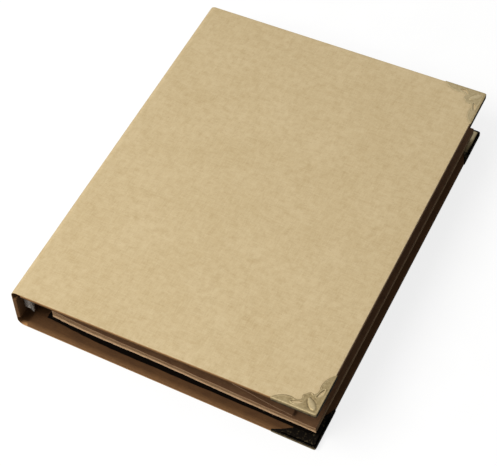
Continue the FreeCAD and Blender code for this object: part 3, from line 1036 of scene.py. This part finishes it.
def build_covers(kraft, lining):
    for side, rounding, seed in (("back", BACK_ROUNDING, 1.7), ("front", FRONT_ROUNDING, 9.3)):
        front = side == "front"
        start, end = bend_zone(front)
        for build, name, material, slot, cover, joint in (
            (kraft_sheet, "_kraft_sheet", kraft, "kraft_paper", "_kraft_cover", "_joint_kraft"),
            (lining_sheet, "_lining_sheet", lining, "lining_paper", "_lining", "_joint_lining"),
        ):
            piece = build(side + name, rounding, front, seed)
            paint(piece, material)
            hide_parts("spine" + cover, side + cover, side + joint)
            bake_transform(piece)


def build_corners(metal):
    for side in ("back", "front"):
        for end in ("tail", "head"):
            node = side + "_" + end + "_corner"
            piece = metal_corner(node + "_stamped", side == "front", end == "head")
            paint(piece, metal)
            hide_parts(node)
            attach(piece, side + "_cover")


def build_leaves(materials):
    for name, node, slot, body, seed, loose in (
        # the black leaves fill the dark band under the stack: painted shade
        ("black_leaf_sheets", "black_leaves", "black_card", "leaf_stack", 3, 0.03),
        ("tan_leaf_sheets", "tan_leaves", "tan_card", "leaf_stack", 5, 0.25),
        ("brown_leaf_sheet", "brown_leaf", "brown_card", "leaf_stack", 8, 0.25),
        ("arched_leaf", "upper_leaf", "brown_card", "turned_leaf", 4, 0.25),
    ):
        piece = leaf_sheets(name, node, seed, loose)
        paint(piece, materials[slot])
        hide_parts(node)
        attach(piece, body)


def paint_nodes(materials):
    slots = {part["node"]: part["material_slot"] for part in frame["record"]["subparts"]}
    for name, node in frame["nodes"].items():
        paint(node, materials[slots[name]])


def add_floor():
    """Floor that glows white for the camera only, and throws little light back on the album."""
    n = Nodes("floor_paper")
    grain = n.noise(30.0, 2.0, 0.5)
    grey = n.mix(grain, (0.17, 0.17, 0.17, 1), (0.19, 0.19, 0.19, 1))
    seen = n.add("ShaderNodeLightPath").outputs["Is Camera Ray"]
    n.shader.inputs["Emission Color"].default_value = (1, 1, 1, 1)
    n.set(n.shader, "Emission Strength", n.math("MULTIPLY", seen, FLOOR_GLOW))
    n.finish(n.mix(seen, (0.3, 0.29, 0.28, 1), grey), 0.9, specular=0.0)
    bpy.ops.mesh.primitive_plane_add(size=FLOOR_SIZE, location=(0, 0, 0))
    floor = bpy.context.object
    floor.name = "floor"
    floor.data.materials.append(n.material)


def outward(azimuth, elevation):
    a, e = math.radians(azimuth), math.radians(elevation)
    return Vector((math.sin(a) * math.cos(e), -math.cos(a) * math.cos(e), math.sin(e)))


def add_key_light():
    """Area light aimed at the album's middle."""
    low, high = cad_box
    back = outward(KEY_AZIMUTH, KEY_ELEVATION)
    data = bpy.data.lights.new("key", "AREA")
    data.shape = "DISK"
    data.size = KEY_SIZE
    data.energy = KEY_POWER
    data.color = KEY_COLOUR
    lamp = bpy.data.objects.new("key", data)
    lamp.location = (low + high) / 2 + back * KEY_DISTANCE
    lamp.rotation_mode = "QUATERNION"
    lamp.rotation_quaternion = (-back).to_track_quat("-Z", "Y")
    bpy.context.scene.collection.objects.link(lamp)


def add_world():
    """Soft light, weaker from the fore-edge side, behind a backdrop that the camera sees as white."""
    world = bpy.data.worlds.new("studio")
    bpy.context.scene.world = world
    world.use_nodes = True
    tree = world.node_tree
    direction = tree.nodes.new("ShaderNodeSeparateXYZ")
    tree.links.new(tree.nodes.new("ShaderNodeTexCoord").outputs["Generated"], direction.inputs[0])
    strength = tree.nodes.new("ShaderNodeMapRange")
    ends = (("From Min", -1.0), ("From Max", 1.0), ("To Min", WORLD_BRIGHT), ("To Max", WORLD_DIM))
    for key, number in ends:
        strength.inputs[key].default_value = number
    tree.links.new(direction.outputs["X"], strength.inputs["Value"])
    seen = tree.nodes.new("ShaderNodeLightPath").outputs["Is Camera Ray"]
    shown = tree.nodes.new("ShaderNodeMath")
    shown.operation = "MAXIMUM"
    tree.links.new(seen, shown.inputs[0])
    tree.links.new(strength.outputs[0], shown.inputs[1])
    background = tree.nodes["Background"]
    background.inputs["Color"].default_value = (1, 1, 1, 1)
    tree.links.new(shown.outputs[0], background.inputs["Strength"])


def add_camera():
    back = outward(CAMERA_AZIMUTH, CAMERA_ELEVATION)
    data = bpy.data.cameras.new("camera")
    data.lens = CAMERA_LENS
    data.sensor_width = CAMERA_SENSOR
    data.clip_start = 0.01
    camera = bpy.data.objects.new("camera", data)
    camera.location = Vector(CAMERA_AIM) + back * CAMERA_DISTANCE
    level = (-back).to_track_quat("-Z", "Y").to_matrix()
    rolled = level @ Matrix.Rotation(math.radians(CAMERA_ROLL), 3, "Z")
    camera.rotation_mode = "QUATERNION"
    camera.rotation_quaternion = rolled.to_quaternion()
    bpy.context.scene.collection.objects.link(camera)
    bpy.context.scene.camera = camera


def main():
    materials = {
        "kraft_paper": kraft_paper(),
        "lining_paper": lining_paper(),
        "grey_board": grey_board(),
        # near-black card: painted shade for the shadow under the leaf stack
        "black_card": card("black_card", srgb(17, 12, 8), srgb(13, 9, 6), srgb(26, 19, 13),
                           srgb(15, 10, 7), srgb(13, 9, 6), srgb(13, 9, 6), sheen=0.03),
        # edge colours: lit, painted shade under the front cover, painted shade at the fore-edge
        "tan_card": card("tan_card", srgb(186, 156, 116), srgb(172, 142, 102), srgb(206, 180, 142),
                         srgb(244, 200, 156), srgb(152, 114, 82), srgb(92, 64, 42)),
        "brown_card": card("brown_card", srgb(118, 84, 55), srgb(104, 72, 47), srgb(138, 102, 70),
                           srgb(190, 152, 118), srgb(150, 112, 80), srgb(104, 74, 50)),
        "antique_metal": antique_metal(),
        "nickel": nickel(),
    }
    paint_nodes(materials)
    build_covers(materials["kraft_paper"], materials["lining_paper"])
    build_corners(materials["antique_metal"])
    build_leaves(materials)
    add_floor()
    add_world()
    add_key_light()
    add_camera()
    bpy.context.scene.view_settings.view_transform = "Standard"


main()
